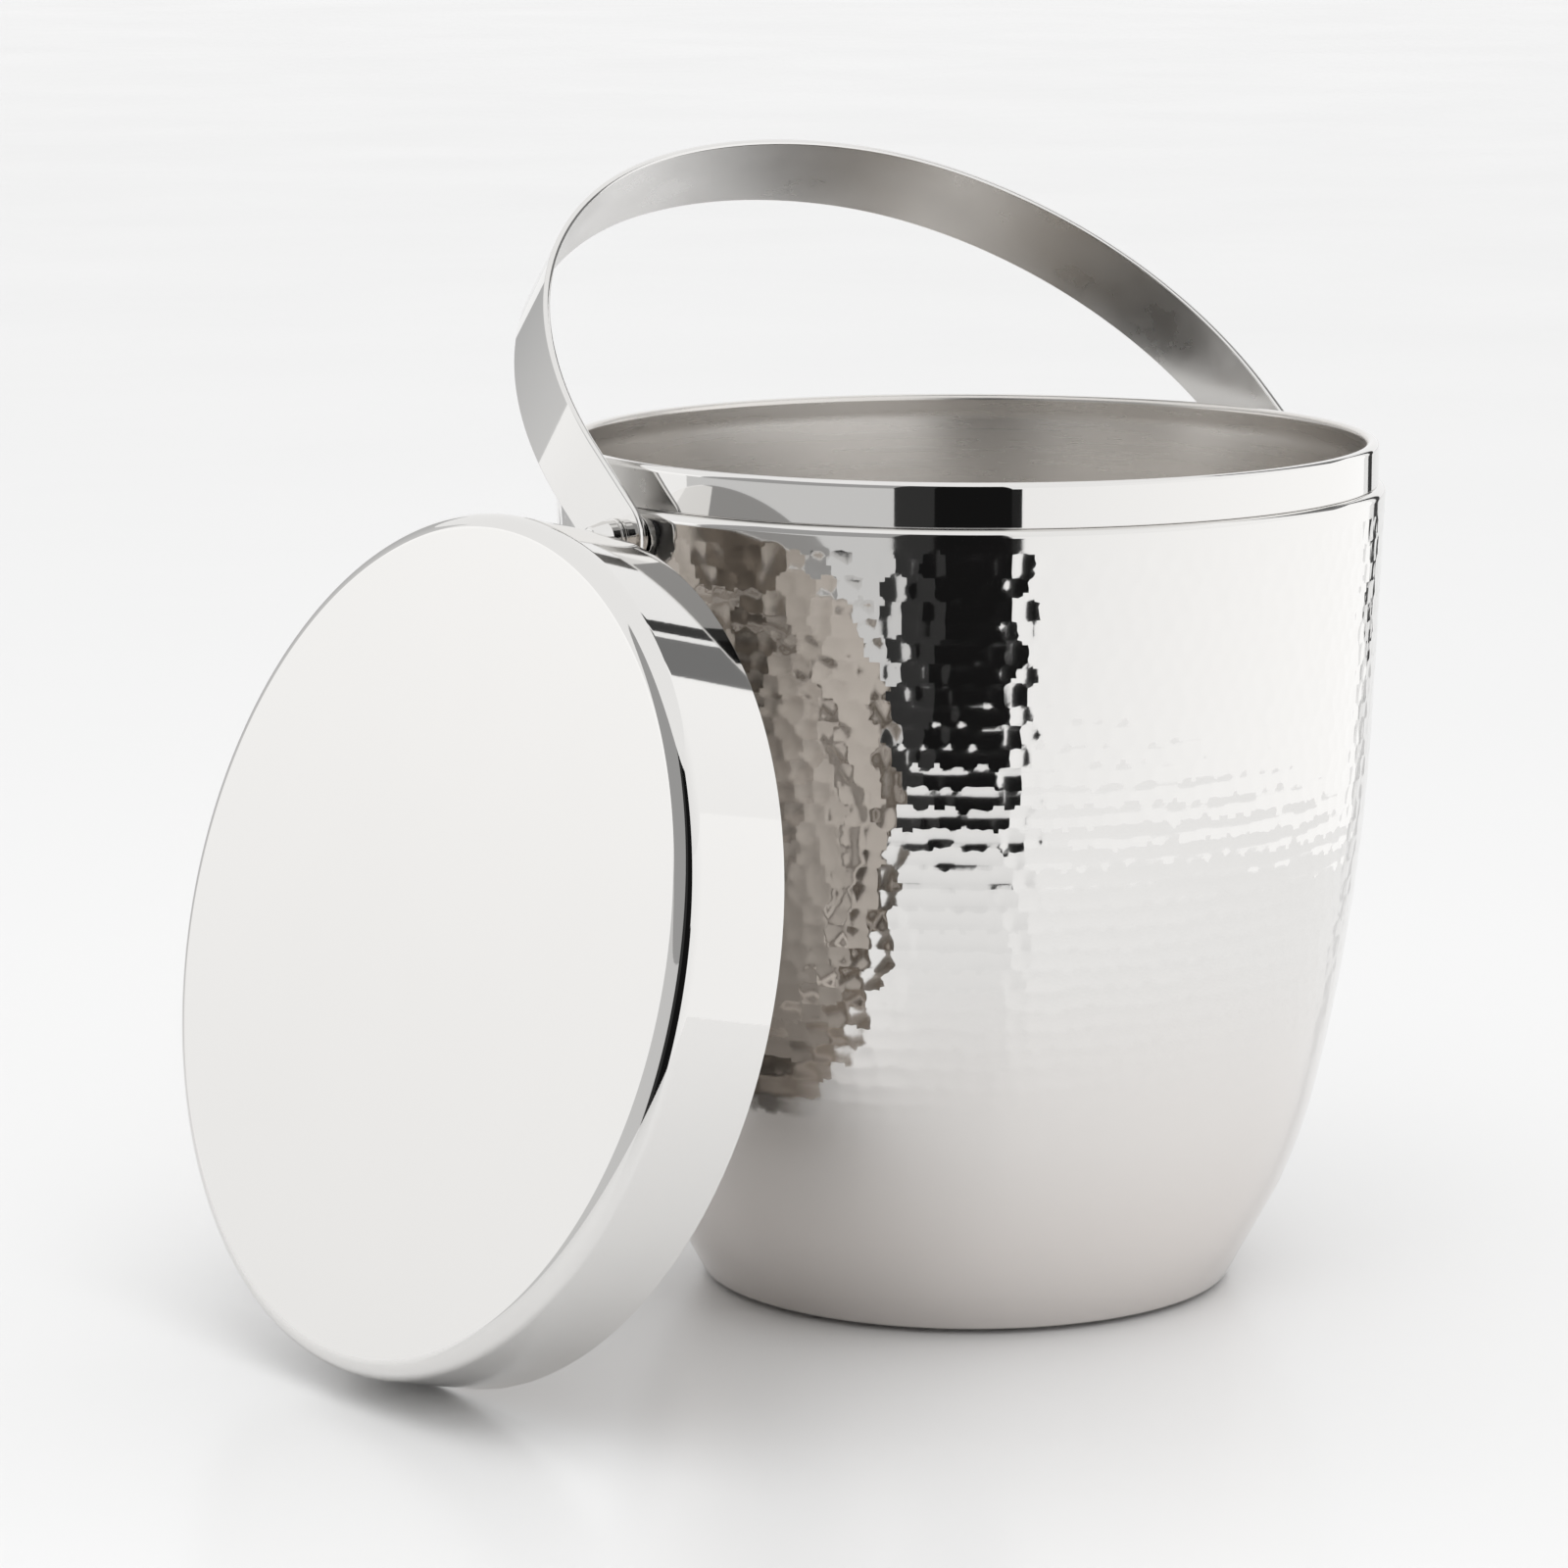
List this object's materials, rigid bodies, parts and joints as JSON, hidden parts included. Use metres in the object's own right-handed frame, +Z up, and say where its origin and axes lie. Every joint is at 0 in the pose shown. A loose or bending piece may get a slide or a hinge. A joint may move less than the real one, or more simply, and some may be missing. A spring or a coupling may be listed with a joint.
{
  "type": "ice bucket",
  "caption": "Double-walled hammered steel ice bucket with a tapered round body, a swinging flat loop handle and a flat lift-off lid that stands against it.",
  "frame": {"origin": "on the floor under the middle of the bucket, at the middle of the base pad's underside", "axes": "+Z up through the bucket; +X along the handle's pivot axis, away from the lid; +Y the way the handle leans back"},
  "size_m": [0.3072, 0.207, 0.278],
  "materials": {
    "hammered_steel": "hammered and polished",
    "satin_steel": "satin inside, polished collar",
    "polished_steel": "mirror polished",
    "lid_steel": "mirror polished",
    "fitting_steel": "polished",
    "plain_steel": "mill finish",
    "washer_plastic": "black",
    "pad_rubber": "black"
  },
  "bodies": {
    "bucket": {"outer_shell": "hammered_steel", "inner_liner": "satin_steel", "base_plate": "plain_steel", "base_pad": "pad_rubber", "backing_washer_left": "plain_steel", "pivot_bolt_left": "plain_steel", "pivot_boss_left": "fitting_steel", "friction_washer_left": "washer_plastic", "outer_washer_left": "fitting_steel", "cap_nut_left": "fitting_steel", "backing_washer_right": "plain_steel", "pivot_bolt_right": "plain_steel", "pivot_boss_right": "fitting_steel", "friction_washer_right": "washer_plastic", "outer_washer_right": "fitting_steel", "cap_nut_right": "fitting_steel"},
    "handle": {"handle_band": "polished_steel"},
    "lid": {"lid_cap": "lid_steel", "lid_liner": "satin_steel"}
  },
  "joints": [
    {"name": "handle_swing", "type": "hinge", "parent": "bucket", "child": "handle", "pos_m": [0, 0, 0.193], "axis": [1, 0, 0], "range_deg": [-66, 166]},
    {"name": "lid_lift", "type": "slide", "parent": "bucket", "child": "lid", "axis": [-0.9681, 0.0135, 0.25], "range_m": [0, 0.15]}
  ]
}
